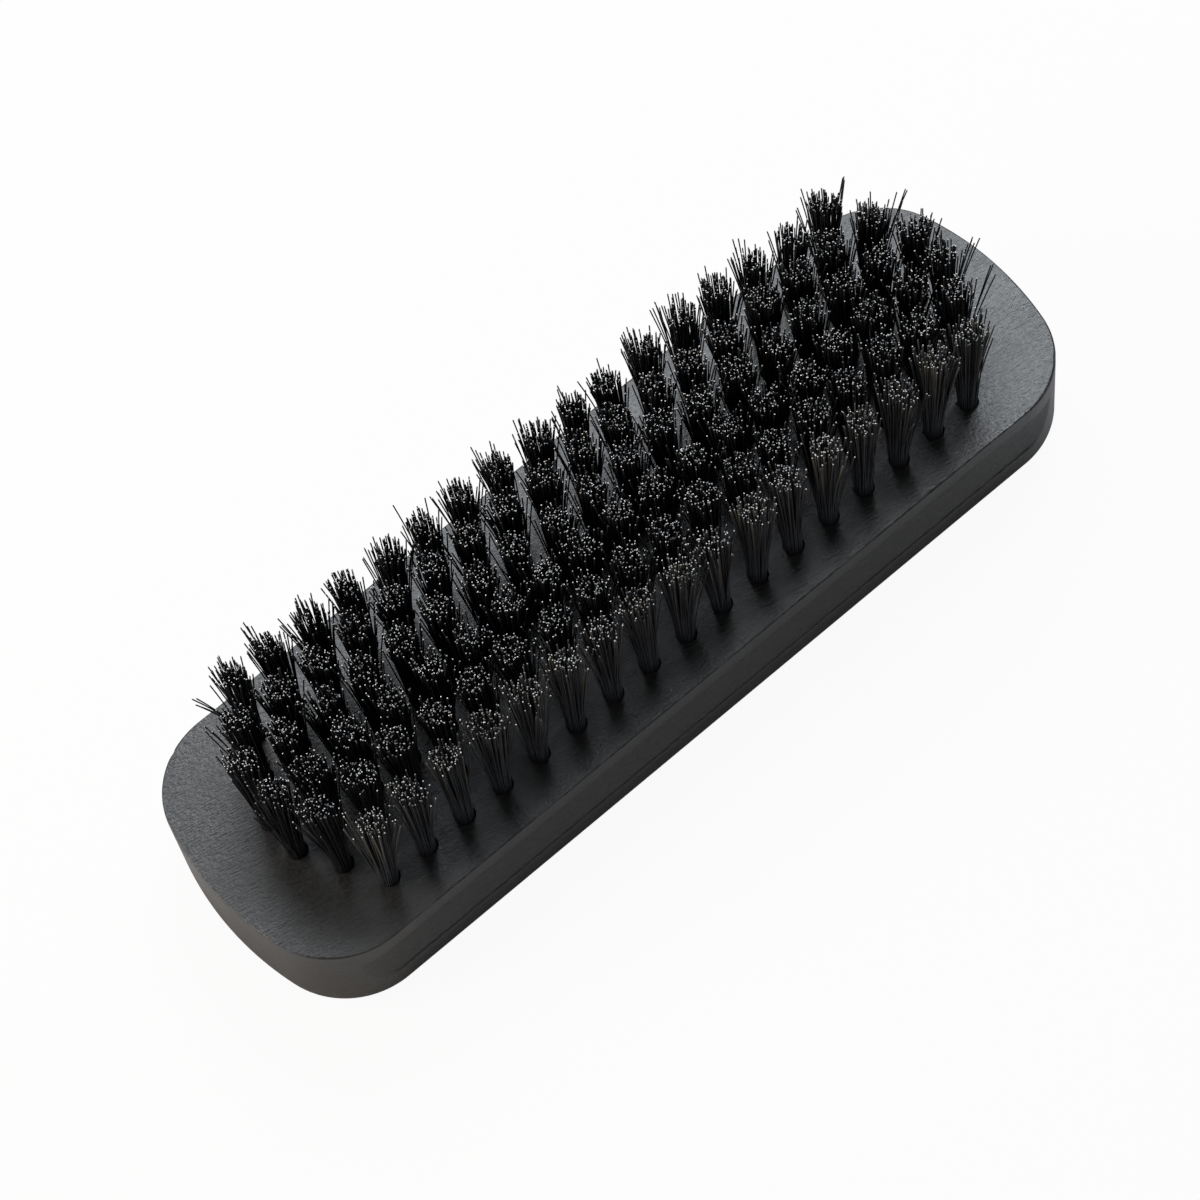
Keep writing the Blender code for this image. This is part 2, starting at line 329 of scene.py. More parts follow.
class TuftSettings(bpy.types.PropertyGroup):
    """The bristle tufts."""

    rows: bpy.props.IntProperty(name="Rows", description="Rows of tufts", default=6, min=1)
    longest_row: bpy.props.IntProperty(
        name="Longest row", description="Tufts in each of the middle rows", default=19, min=1,
    )
    row_spacing: bpy.props.FloatProperty(
        name="Row spacing", description="From one row to the next",
        default=6.48 * MM, subtype="DISTANCE", unit="LENGTH",
    )
    pitch: bpy.props.FloatProperty(
        name="Pitch", description="From one tuft to the next along a row",
        default=7.39 * MM, subtype="DISTANCE", unit="LENGTH",
    )
    root_diameter: bpy.props.FloatProperty(
        name="Tuft diameter", description="Diameter of a tuft where it leaves the block",
        default=3.1 * MM, subtype="DISTANCE", unit="LENGTH",
    )
    tip_diameter: bpy.props.FloatProperty(
        name="Tip spread", description="Diameter of a tuft across its cut tips",
        default=4.9 * MM, subtype="DISTANCE", unit="LENGTH",
    )
    filament_diameter: bpy.props.FloatProperty(
        name="Filament", description="Diameter of one filament",
        default=0.225 * MM, subtype="DISTANCE", unit="LENGTH",
    )
    trim_height: bpy.props.FloatProperty(
        name="Trim height", description="Height of the tips above the bristle face",
        default=21.4 * MM, subtype="DISTANCE", unit="LENGTH",
    )
    lean_out: bpy.props.FloatProperty(
        name="Lean", description="How far the outermost tufts lean away from the middle at their tips",
        default=0.4 * MM, subtype="DISTANCE", unit="LENGTH",
    )
    bristle: bpy.props.FloatVectorProperty(
        name="Bristle", description="Colour of most filaments",
        default=(0.036, 0.038, 0.043), subtype="COLOR", min=0, max=1,
    )
    # Painted sheen: the pale tint that stands in for light caught up the filaments' length, mostly in the
    # near row
    sheen_bristle: bpy.props.FloatVectorProperty(
        name="Pale bristle", description="Colour of the palest filaments",
        default=(0.150, 0.135, 0.112), subtype="COLOR", min=0, max=1,
    )
    cut_end: bpy.props.FloatVectorProperty(
        name="Cut ends", description="Colour of the brightest cut ends",
        default=(0.95, 0.95, 0.95), subtype="COLOR", min=0, max=1,
    )


class StageSettings(bpy.types.PropertyGroup):
    """The floor, the lamps and the camera."""

    floor_colour: bpy.props.FloatVectorProperty(
        name="Floor", description="Colour of the floor",
        default=(0.74, 0.73, 0.72), subtype="COLOR", min=0, max=1,
    )
    floor_radius: bpy.props.FloatProperty(
        name="Floor radius", description="Radius of the round floor",
        default=3.0, subtype="DISTANCE", unit="LENGTH",
    )
    softbox_radiance: bpy.props.FloatProperty(
        name="Softbox", description="Radiance of the large lamp overhead", default=7.0, min=0,
    )
    side_radiance: bpy.props.FloatProperty(
        name="Side softbox", description="Radiance of the weaker lamp on the left", default=6.5, min=0,
    )
    fill_radiance: bpy.props.FloatProperty(
        name="Fill", description="Radiance of the weak lamp behind the camera", default=0.2, min=0,
    )
    sky: bpy.props.FloatProperty(
        name="Sky", description="Strength of the light from all round", default=0.09, min=0,
    )
    lens: bpy.props.FloatProperty(
        name="Lens", description="Focal length in millimetres", default=110.42, min=1,
    )


class Value:
    """A node's output. Python's sums, products, powers and comparisons on it become Math nodes."""

    def __init__(self, paint, socket):
        self.paint = paint
        self.socket = socket

    def maths(self, operation, *terms):
        return self.paint.add("ShaderNodeMath", {"operation": operation}, dict(enumerate(terms)))

    def __add__(self, other):
        return self.maths("ADD", self, other)

    def __radd__(self, other):
        return self.maths("ADD", other, self)

    def __mul__(self, other):
        return self.maths("MULTIPLY", self, other)

    def __rmul__(self, other):
        return self.maths("MULTIPLY", other, self)

    def __pow__(self, power):
        return self.maths("POWER", self, power)

    def __rpow__(self, base):
        return self.maths("POWER", base, self)

    def __gt__(self, other):
        return self.maths("GREATER_THAN", self, other)

    def __lt__(self, other):
        return self.maths("LESS_THAN", self, other)

    def fraction(self):
        return self.maths("FRACT", self)

    def clamped(self):
        return self.paint.add("ShaderNodeClamp", {}, {"Value": self})


class Paint:
    """The nodes of a material, or of the world, under construction."""

    def __init__(self, owner, shader="Principled BSDF"):
        owner.use_nodes = True
        self.owner = owner
        self.tree = owner.node_tree
        self.shader = self.tree.nodes[shader]

    def add(self, kind, settings, inputs, output=0):
        """A node of that kind, its settings set first, then its sockets' values or links."""
        node = self.tree.nodes.new(kind)
        for name, setting in settings.items():
            if name == "stops":
                self.set_stops(node.color_ramp, setting)
            else:
                setattr(node, name, setting)
        for socket, value in inputs.items():
            self.fill(node.inputs[socket], value)
        return Value(self, node.outputs[output])

    def set_stops(self, ramp, stops):
        while len(ramp.elements) < len(stops):
            ramp.elements.new(1.0)
        for element, (place, colour) in zip(ramp.elements, stops):
            element.position = place
            element.color = (*colour, 1.0)

    def fill(self, socket, value):
        if isinstance(value, Value):
            self.tree.links.new(value.socket, socket)
        elif hasattr(value, "__len__") and socket.type == "RGBA":
            socket.default_value = (*tuple(value)[:3], 1.0)
        else:
            socket.default_value = value

    def place(self):
        """Object coordinates: the row frame, in metres."""
        return self.add("ShaderNodeTexCoord", {}, {}, "Object")

    def stretched(self, per_metre, turn=0.0):
        """Object coordinates turned back about Z, times a number for each axis."""
        inputs = {"Vector": self.place(), "Angle": -turn}
        turned = self.add("ShaderNodeVectorRotate", {"rotation_type": "Z_AXIS"}, inputs)
        return self.add("ShaderNodeVectorMath", {"operation": "MULTIPLY"}, {0: turned, 1: per_metre})

    def noise(self, per_metre, detail=2.0, roughness=0.5, turn=0.0):
        """Smooth noise from 0 to 1, with that many features a metre along X, Y and Z."""
        vector = self.stretched(per_metre, turn)
        inputs = {"Vector": vector, "Scale": 1.0, "Detail": detail, "Roughness": roughness}
        return self.add("ShaderNodeTexNoise", {"noise_dimensions": "3D"}, inputs, "Fac")

    def ramp(self, value, stops):
        return self.add("ShaderNodeValToRGB", {"stops": stops}, {"Fac": value}, "Color")

    def blend(self, share, first, second, how="MIX"):
        """Two colours mixed. The Mix node has them at inputs 6 and 7, and the result at output 2."""
        settings = {"data_type": "RGBA", "blend_type": how}
        return self.add("ShaderNodeMix", settings, {"Factor": share, 6: first, 7: second}, 2)

    def between(self, value, span=(0.0, 1.0), to=(0.0, 1.0)):
        """Value taken from its own span to another, and held inside it."""
        low, high = span
        to_low, to_high = to
        inputs = {"Value": value, "From Min": low, "From Max": high, "To Min": to_low, "To Max": to_high}
        return self.add("ShaderNodeMapRange", {"clamp": True}, inputs)

    def attribute(self, name):
        return self.add("ShaderNodeAttribute", {"attribute_name": name}, {}, "Fac")

    def bump(self, height, distance, under=None):
        inputs = {"Height": height, "Distance": distance}
        if under is not None:
            inputs["Normal"] = under
        return self.add("ShaderNodeBump", {}, inputs, "Normal")

    def finish(self, **sockets):
        """Fills the shader's sockets, named with _ for a space, and returns what the nodes belong to."""
        for name, value in sockets.items():
            self.fill(self.shader.inputs[name.replace("_", " ")], value)
        return self.owner


def satin_paint(settings):
    """Black satin paint over close-grained wood: fine streaks, a soft orange peel, smudges and dust."""
    paint = Paint(bpy.data.materials.new("satin_black_paint"))
    streaks = paint.noise(STREAKS, detail=3.0, roughness=0.6, turn=GRAIN_TURN)
    grit = paint.noise(GRIT, roughness=0.6, turn=GRAIN_TURN)
    smudges = paint.noise(SMUDGES, detail=3.0, roughness=0.55)
    peel = paint.noise(PEEL, detail=1.0)
    dots = paint.add(
        "ShaderNodeTexVoronoi", {"feature": "F1"},
        {"Vector": paint.place(), "Scale": DUST_PER_METRE, "Randomness": 1.0}, "Distance",
    )
    dusty = paint.noise(DUST_PATCHES, detail=0.0)
    dust = (dots < DUST_SIZE) * (dusty > DUST_LEVEL)
    raised = (streaks * STREAK_SHARE + grit * GRIT_SHARE).clamped()
    rubbed = paint.between(raised, GRAIN_LEVELS, RUBBED_SHARES)
    smudged = paint.between(smudges, SMUDGE_LEVELS, SMUDGED_SHARES)
    colour = paint.blend(rubbed, settings.paint, settings.rubbed_paint)
    colour = paint.blend(smudged, colour, settings.rubbed_paint)
    colour = paint.blend(dust * DUST_COVER, colour, DUST_COLOUR)
    rough = paint.between(smudges, SATIN_LEVELS, PAINT_ROUGHNESS)
    rough = rough + paint.between(raised, SATIN_LEVELS, GRAIN_ROUGHNESS)
    relief = paint.bump(streaks, STREAK_DEPTH)
    relief = paint.bump(grit, GRIT_DEPTH, relief)
    relief = paint.bump(peel, PEEL_DEPTH, relief)
    return paint.finish(
        Base_Color=colour, Roughness=rough, Normal=relief, Specular_IOR_Level=PAINT_SPECULAR,
    )


def filament_side(settings, row):
    """Black synthetic filament with painted light: some take a painted sheen up their length, shaded rows
    are darker, and roots are painted greyer to lift their shade.
    """
    paint = Paint(bpy.data.materials.new(f"bristle_filament_row_{row}"))
    tone = paint.attribute("tone")
    height = paint.attribute("height")
    sheen_most, shade = NEAR_ROW_LIT_LOOK if row == NEAR_ROW else SHADED_ROWS_LOOK
    # Painted shade: the rows behind the near one take a darker copy of the bristle colour
    dark = [c * shade for c in settings.bristle]
    # Painted sheen: some filaments, drawn at random, are painted paler up their length where the light
    # catches them
    pale = paint.between((tone * SHEEN_SHUFFLE).fraction(), SHEEN_DRAWS) ** SHEEN_POWER * sheen_most
    colour = paint.blend(pale * paint.between(height, SHEEN_HEIGHTS), dark, settings.sheen_bristle)
    # Painted light: the root is painted greyer to lift the shade that falls at the foot of the tuft
    lit_roots = [c * LIT_ROOT_GAIN for c in dark]
    colour = paint.blend(paint.between(height, LIT_ROOT_HEIGHTS), lit_roots, colour)
    rough = paint.between(tone, to=FILAMENT_ROUGHNESS)
    return paint.finish(Base_Color=colour, Roughness=rough, Specular_IOR_Level=FILAMENT_SPECULAR)


def filament_end(settings, row):
    """The cut end of a filament: a pale disc, brighter on some than on others, and warmer or cooler."""
    paint = Paint(bpy.data.materials.new(f"bristle_cut_end_row_{row}"))
    tone = paint.attribute("tone")
    tinted = paint.ramp((tone * TINT_SHUFFLE).fraction(), CUT_END_TINTS)
    bright = paint.blend(1.0, tinted, settings.cut_end, "MULTIPLY")
    share = paint.between(tone, to=CUT_END_SHARES) ** CUT_END_POWER
    colour = paint.blend(share, settings.bristle, bright)
    return paint.finish(
        Base_Color=colour, Roughness=CUT_END_ROUGHNESS, Specular_IOR_Level=CUT_END_SPECULAR,
    )


def show(name, mesh, *materials):
    """A new object of that mesh, in place of any object of that name."""
    if name in bpy.data.objects:
        bpy.data.objects.remove(bpy.data.objects[name], do_unlink=True)
    for material in materials:
        mesh.materials.append(material)
    obj = bpy.data.objects.new(name, mesh)
    bpy.context.scene.collection.objects.link(obj)
    return obj


def arc(centre_x, centre_y, radius, start, end, steps):
    """Points on an arc, both ends included."""
    angles = [start + (end - start) * i / steps for i in range(steps + 1)]
    return [(centre_x + radius * math.cos(a), centre_y + radius * math.sin(a)) for a in angles]


def block_columns(settings):
    """Points round the block seen from above, each with the way out: (x, y, out x, out y)."""
    half_length = BLOCK_HIGH.x
    half_width = BLOCK_HIGH.y
    end_x = half_length - settings.end_radius
    corner_y = half_width - settings.corner_radius
    corner_x = end_x + math.sqrt((settings.end_radius - settings.corner_radius) ** 2 - corner_y**2)
    meet = math.atan2(corner_y, corner_x - end_x)
    quarter = []
    for i in range(END_STEPS):
        angle = meet * i / END_STEPS
        quarter.append((end_x, 0, settings.end_radius, angle))
    for i in range(CORNER_STEPS):
        angle = meet + (math.pi / 2 - meet) * i / CORNER_STEPS
        quarter.append((corner_x, corner_y, settings.corner_radius, angle))
    columns = []
    for x, y, radius, angle in quarter:
        out_x, out_y = math.cos(angle), math.sin(angle)
        columns.append((x + radius * out_x, y + radius * out_y, out_x, out_y))
    for i in range(SIDE_STEPS // 2 + 1):
        columns.append((corner_x * (1 - 2 * i / SIDE_STEPS), half_width, 0.0, 1.0))
    half = columns + [(-x, y, -out_x, out_y) for x, y, out_x, out_y in reversed(columns[:-1])]
    return half + [(x, -y, out_x, -out_y) for x, y, out_x, out_y in reversed(half[1:-1])]


def wall_levels(settings):
    """The lines round the block from its face to its flat back, as (inset, groove depth, drop)."""
    levels = []
    radius = settings.face_edge_radius
    for inset, drop in arc(radius, radius, radius, -math.pi / 2, -math.pi, FACE_EDGE_STEPS):
        levels.append((inset, 0, drop))
    top = settings.groove_top_drop
    crest = settings.crest_radius
    for i in range(1, LAND_STEPS):
        levels.append((0, 0, radius + (top - crest - radius) * i / LAND_STEPS))
    for depth, drop in arc(crest, top - crest, crest, math.pi, math.pi / 2, CREST_STEPS):
        levels.append((0, depth, drop))
    lip = settings.groove_lip_radius
    depth = settings.groove_depth
    bottom = top + settings.groove_height
    for groove, drop in arc(depth - lip, top + lip, lip, -math.pi / 2, 0, GROOVE_LIP_STEPS):
        levels.append((0, groove, drop))
    ledge = settings.groove_ledge
    run = bottom - ledge - top - lip
    rise = depth - ledge
    floor_radius = (run**2 + rise**2) / (2 * rise)
    sweep = math.asin(run / floor_radius)
    floor = arc(depth - floor_radius, top + lip, floor_radius, 0, sweep, GROOVE_FLOOR_STEPS)
    for groove, drop in floor[1:]:
        levels.append((0, groove, drop))
    for i in range(1, LEDGE_STEPS + 1):
        share = i / LEDGE_STEPS
        levels.append((0, ledge * (1 - share), bottom - ledge * (1 - share)))
    thickness = BLOCK_HIGH.z - BLOCK_LOW.z
    radius = settings.back_edge_radius
    for i in range(1, BAND_STEPS):
        levels.append((0, 0, bottom + (thickness - radius - bottom) * i / BAND_STEPS))
    for inset, drop in arc(radius, thickness - radius, radius, math.pi, math.pi / 2, BACK_EDGE_STEPS):
        levels.append((inset, 0, drop))
    return levels


def edge_wear(x, y):
    """How wide the broken face edge is at a place, as a share of its usual width."""
    wear = 1.0
    for along_x, along_y, start, share in WEAR_WAVES:
        wear += share * math.sin(x * along_x + y * along_y + start)
    return wear + WEAR_BY_LENGTH * x


def nicked(point):
    """The point, pushed in where a small dent in the face edge lies."""
    drop = BLOCK_HIGH.z - point.z
    for (x, y), reach, depth in EDGE_NICKS:
        away = math.sqrt((point.x - x) ** 2 + (point.y - y) ** 2 + drop**2) / reach
        push = depth * math.exp(-(away**2) * NICK_FALLOFF)
        inward = Vector((-x, -y, 0)).normalized() * push
        point = point + inward - Vector((0, 0, push))
    return point


def bridge(bm, first, second):
    """Quads between two loops of as many points."""
    faces = []
    for i in range(len(first)):
        j = (i + 1) % len(first)
        faces.append(bm.faces.new((first[i], first[j], second[j], second[i])))
    return faces


def loop_edges(bm, loop):
    """The edges round a loop of points, made where there are none yet."""
    edges = []
    for i, vert in enumerate(loop):
        after = loop[(i + 1) % len(loop)]
        edges.append(bm.edges.get((vert, after)) or bm.edges.new((vert, after)))
    return edges


def ring(bm, x, y, z, radius, sides):
    """A round loop of points about an upright axis."""
    verts = []
    for i in range(sides):
        angle = 2 * math.pi * i / sides
        verts.append(bm.verts.new((x + radius * math.cos(angle), y + radius * math.sin(angle), z)))
    return verts


def tuft_rows(tufts):
    """One list of tuft centres (x, y) for each row, from the -Y side to the +Y side."""
    pattern = []
    for row in range(tufts.rows):
        steps_out = row - (tufts.rows - 1) / 2
        count = tufts.longest_row - int(abs(steps_out))
        y = steps_out * tufts.row_spacing
        pattern.append([((i - (count - 1) / 2) * tufts.pitch, y) for i in range(count)])
    return pattern


def drill_hole(bm, x, y, settings):
    """One blind hole with a broken rim and a drill point. Returns the loop at its rim."""
    face = BLOCK_HIGH.z
    radius = settings.hole_diameter / 2
    shoulder = face - settings.drill_depth
    rim = ring(bm, x, y, face, radius + settings.hole_chamfer, HOLE_SIDES)
    throat = ring(bm, x, y, face - settings.hole_chamfer, radius, HOLE_SIDES)
    floor = ring(bm, x, y, shoulder, radius, HOLE_SIDES)
    tip = bm.verts.new((x, y, shoulder - radius / math.tan(settings.drill_point / 2)))
    bridge(bm, throat, rim)
    bridge(bm, floor, throat)
    for i in range(HOLE_SIDES):
        bm.faces.new((floor[i], tip, floor[(i + 1) % HOLE_SIDES]))
    return rim


def block_mesh(settings, tufts):
    """The whole block as one closed mesh."""
    bm = bmesh.new()
    columns = block_columns(settings)
    half_width = BLOCK_HIGH.y
    loops = []
    for inset, groove, drop in wall_levels(settings):
        loop = []
        for x, y, out_x, out_y in columns:
            wear = edge_wear(x, y) if drop <= settings.face_edge_radius else 1.0
            x_in = x - out_x * inset * wear
            y_in = y - out_y * inset * wear
            if groove > 0:
                y_in = max(-half_width + groove, min(half_width - groove, y_in))
            loop.append(bm.verts.new(nicked(Vector((x_in, y_in, BLOCK_HIGH.z - drop * wear)))))
        loops.append(loop)
    for first, second in zip(loops, loops[1:]):
        bridge(bm, first, second)
    for vert in loops[0]:
        vert.co.z = BLOCK_HIGH.z
    rims = [drill_hole(bm, x, y, settings) for row in tuft_rows(tufts) for x, y in row]
    face_edges = loop_edges(bm, loops[0])
    for rim in rims:
        face_edges += loop_edges(bm, rim)
    sharp_edges = face_edges + loop_edges(bm, loops[-1])
    bmesh.ops.triangle_fill(bm, edges=face_edges, use_beauty=True)
    bm.faces.new(loops[-1])
    for face in bm.faces:
        face.smooth = True
    for edge in sharp_edges:
        edge.smooth = False
    bmesh.ops.remove_doubles(bm, verts=bm.verts, dist=MERGE_DISTANCE)
    bmesh.ops.recalc_face_normals(bm, faces=bm.faces)
    mesh = bpy.data.meshes.new("painted_block")
    bm.to_mesh(mesh)
    bm.free()
    return mesh


def half_ring_places(tufts):
    """Where filaments cross the face in one half of a tuft, as (along, across) the anchor wire."""
    reach = (tufts.root_diameter - tufts.filament_diameter) / 2
    rings = round(reach / (tufts.filament_diameter * RING_PITCH))
    places = []
    for i in range(rings):
        radius = reach * (i + 0.5) / (rings - 0.5)
        count = max(2, round(math.pi * radius / (tufts.filament_diameter * ARC_PITCH)))
        for j in range(count):
            angle = math.pi * (j + 0.5) / count
            places.append((radius * math.cos(angle), radius * math.sin(angle)))
    return np.array(places)


def tuft_zone(row, rows, place, count):
    """Where a tuft stands. The left ends of the calm rows count as side or inside."""
    if place == count - 1 or (place == 0 and row > CALM_ROWS):
        return "end"
    return "side" if row in (1, rows) else "inside"


def stray_lean(rng, roots, away, zone):
    """How far each filament leans over that has strayed: in a bundle that heads outwards, or alone."""
    lean = np.zeros_like(roots)
    chance, near, far = STRAY_BUNDLES[zone]
    if rng.random() < chance:
        sideways = away[1] * (END_SIDEWAYS if zone == "end" else 1.0)
        out = math.atan2(sideways, away[0]) + rng.normal(0, BUNDLE_TURN)
        heading = np.array([math.cos(out), math.sin(out)])
        order = np.argsort(rng.normal(0, BUNDLE_MIX, len(roots)) - roots @ heading)
        bundle = order[:rng.integers(*BUNDLE_COUNT)]
        throws = rng.uniform(near, far) * MM * rng.uniform(*BUNDLE_RAGGED, (len(bundle), 1))
        lean[bundle] = heading * throws + rng.normal(0, BUNDLE_SCATTER, (len(bundle), 2))
    alone = rng.random(len(roots)) < LONE_SHARE
    lean[alone] = rng.normal(0, LONE_LEAN, (alone.sum(), 2))
    return lean


def cut_heights(rng, count, tufts):
    """How high above the face each filament of a tuft is cut."""
    heights = tufts.trim_height + rng.normal(0, TUFT_TRIM_SCATTER) + rng.normal(0, TRIM_SCATTER, count)
    heights -= rng.exponential(TRIM_LOSS, count)
    short = rng.random(count) < SHORT_SHARE
    heights[short] -= rng.uniform(*SHORT_BY_MM, short.sum()) * MM
    tall = rng.random(count) < TALL_SHARE
    heights[tall] += rng.uniform(*TALL_BY_MM, tall.sum()) * MM
    return heights


def free_arms(rng, roots, along, tufts, away, zone):
    """Paths of filaments above the face, from the face to their tips, and which of them have strayed.

    roots is where they cross the face, round (0, 0). along is the way the anchor wire runs: they
    spread less that way. away is the way out of the brush at this tuft.
    """
    count = len(roots)
    reach = (tufts.root_diameter - tufts.filament_diameter) / 2
    spread = (tufts.tip_diameter - tufts.filament_diameter) / 2 / reach - 1
    splay = roots * spread * rng.uniform(*TUFT_FULLNESS)
    splay += rng.normal(0, TIP_SCATTER, (count, 2))
    outward = roots / np.maximum(np.linalg.norm(roots, axis=1, keepdims=True), MIDDLE_RADIUS)
    loose = rng.random(count) < LOOSE_SHARE
    splay[loose] += outward[loose] * rng.uniform(*LOOSE_REACH_MM, (loose.sum(), 1)) * MM
    splay -= HELD_BY_WIRE * (splay @ along)[:, None] * along
    splay += away * tufts.lean_out + rng.normal(0, TUFT_LEAN, 2)
    heights = cut_heights(rng, count, tufts)
    lean = stray_lean(rng, roots, away, zone)
    stray = np.abs(lean).sum(1) > 0
    splay[stray] = roots[stray] * spread * STRAY_SPREAD + lean[stray]
    share = np.array(RING_SHARES)
    bend = share**BEND_POWER
    bow = np.sin(math.pi * share)
    swell = rng.normal(0, SWELL, (count, 2))
    flat = roots[:, None] + splay[:, None] * bend[None, :, None] + swell[:, None] * bow[None, :, None]
    lengths = np.sqrt(np.maximum(heights**2 - (splay**2).sum(1), LEAST_HEIGHT**2))
    up = lengths[:, None] * share[None, :]
    return np.concatenate([flat, up[:, :, None]], 2), stray


def filament_paths(rng, tufts, block, centre, zone):
    """Paths of one tuft's filaments from cut end to cut end, and which of them have strayed."""
    turn = rng.normal(WIRE_TURN, WIRE_TURN_SCATTER)
    along = np.array([math.cos(turn), math.sin(turn)])
    across = np.array([-along[1], along[0]])
    places = half_ring_places(tufts)
    sway = rng.normal(0, ROOT_SWAY, places.shape)
    away = np.array([centre[0] / BLOCK_HIGH.x, centre[1] / BLOCK_HIGH.y])
    away = away * np.abs(away)
    roots = np.concatenate([places * (1, side) + sway for side in (1, -1)])
    roots = roots[:, :1] * along + roots[:, 1:] * across
    arms, strayed = free_arms(rng, roots, along, tufts, away, zone)
    arms = arms.reshape(2, len(places), *arms.shape[1:])
    strayed = strayed.reshape(2, -1).any(0)
    depth = block.drill_depth - tufts.root_diameter / 2 - tufts.filament_diameter
    fold = []
    for i in range(FOLD_STEPS + 1):
        angle = math.pi * i / FOLD_STEPS
        flat = places * (1, math.cos(angle)) + sway
        flat = flat[:, :1] * along + flat[:, 1:] * across
        down = -depth - places[:, 1] * math.sin(angle)
        fold.append(np.column_stack([flat, down]))
    fold = np.stack(fold, 1)
    path = np.concatenate([arms[0][:, ::-1], fold, arms[1]], 1)
    path[:, :, :2] += centre + ROOT_SHIFT
    path[:, :, 2] += BLOCK_HIGH.z
    return path, strayed


def tube_points(paths, radius, rng):
    """Points of closed tubes along paths, a row for each tube: its rings, then its ends' middles."""
    sides = FILAMENT_SIDES
    ahead = np.gradient(paths, axis=1)
    ahead /= np.linalg.norm(ahead, axis=2, keepdims=True)
    level = np.zeros_like(ahead)
    level[:, :, 0] = 1
    turned = np.cross(ahead, level)
    turned /= np.linalg.norm(turned, axis=2, keepdims=True)
    other = np.cross(ahead, turned)
    start = rng.uniform(0, 2 * math.pi, (len(paths), 1, 1, 1))
    angles = start + 2 * math.pi * np.arange(sides)[None, None, :, None] / sides
    outward = np.cos(angles) * turned[:, :, None] + np.sin(angles) * other[:, :, None]
    tubes = paths[:, :, None] + radius * outward
    ways_out = np.array([-1, 1])[None, :, None]
    ends = paths[:, (0, -1)] + ahead[:, (0, -1)] * ways_out * radius * CUT_END_DOME
    return np.concatenate([tubes.reshape(len(paths), -1, 3), ends], 1)


def tube_faces(rings):
    """One tube's faces by the numbers of its points: quads round its sides, and triangles at its ends."""
    sides = FILAMENT_SIDES
    at_ring = np.arange(rings - 1)[:, None] * sides
    at_next = at_ring + sides
    here = np.arange(sides)[None, :]
    after = (here + 1) % sides
    quads = np.stack([at_ring + here, at_ring + after, at_next + after, at_next + here], 2)
    here, after = here[0], after[0]
    last = (rings - 1) * sides
    low_end = np.stack([after, here, np.full(sides, rings * sides)], 1)
    high_end = np.stack([last + here, last + after, np.full(sides, rings * sides + 1)], 1)
    return quads.reshape(-1, 4), np.concatenate([low_end, high_end])


def tube_mesh(name, paths, radius, tones, rng):
    """Closed tubes along paths of as many rings each, with their cut ends in the second material."""
    count, rings = paths.shape[:2]
    points = tube_points(paths, radius, rng)
    per_tube = points.shape[1]
    quads, ends = tube_faces(rings)
    faces = []
    for offset in np.arange(count) * per_tube:
        faces += (quads + offset).tolist() + (ends + offset).tolist()
    mesh = bpy.data.meshes.new(name)
    mesh.from_pydata(points.reshape(-1, 3).tolist(), [], faces)
    free = np.array(RING_SHARES)
    heights = np.concatenate([free[::-1], np.zeros(rings - 2 * len(free)), free])
    heights = np.concatenate([np.repeat(heights, FILAMENT_SIDES), [1, 1]])
    labels = {"tone": np.repeat(tones, per_tube), "height": np.tile(heights, count)}
    for label, values in labels.items():
        attribute = mesh.attributes.new(label, "FLOAT", "POINT")
        attribute.data.foreach_set("value", values.astype(np.float32))
    slots = np.tile(np.r_[np.zeros(len(quads), np.int32), np.ones(len(ends), np.int32)], count)
    mesh.polygons.foreach_set("material_index", slots)
    mesh.polygons.foreach_set("use_smooth", slots == 0)
    lay_map(mesh, heights, quads, tones)
    mesh.update()
    mesh.validate()
    return mesh


def lay_map(mesh, heights, quads, tones):
    """Lays the tubes on a map from root to tip. Tubes of the same tone share a column."""
    sides = FILAMENT_SIDES
    across = np.tile(np.array([[0, 1, 1, 0]]) / sides, (len(quads), 1))
    across = across + (np.arange(len(quads)) % sides)[:, None] / sides
    start, height = MAP_SIDES
    side_map = np.stack([across, start + height * heights[quads]], 2).reshape(-1, 2)
    low, high = MAP_ENDS
    end_map = []
    for face in range(2 * sides):
        side = face % sides
        end_map += [(side / sides, low), ((side + 1) / sides, low), ((side + 0.5) / sides, high)]
    one = np.concatenate([side_map, np.array(end_map)])
    places = np.tile(one, (len(tones), 1)).reshape(len(tones), -1, 2)
    column = np.floor(tones * TONES)[:, None]
    start, width = MAP_COLUMN
    places[:, :, 0] = (column + start + width * places[:, :, 0]) / TONES
    layer = mesh.uv_layers.new(name="OFBake")
    layer.uv.foreach_set("vector", places.astype(np.float32).ravel())


def cad_nodes_of_row(row):
    """The CAD nodes whose tufts a bristle piece stands for."""
    found = [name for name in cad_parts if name.startswith(f"tufts_row_{row}_")]
    if not found:
        raise RuntimeError(f"the frame has no tufts in row {row}")
    return found


class BRUSH_OT_painted_block(bpy.types.Operator):
    """Build the painted wooden block with its grooves and holes"""

    bl_idname = "brush.painted_block"
    bl_label = "Painted block"

    def execute(self, context):
        settings = context.scene.brush_block
        mesh = block_mesh(settings, context.scene.brush_tufts)
        block = show("painted_block", mesh, satin_paint(settings))
        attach(block, "root")
        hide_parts("wooden_block")
        return {"FINISHED"}


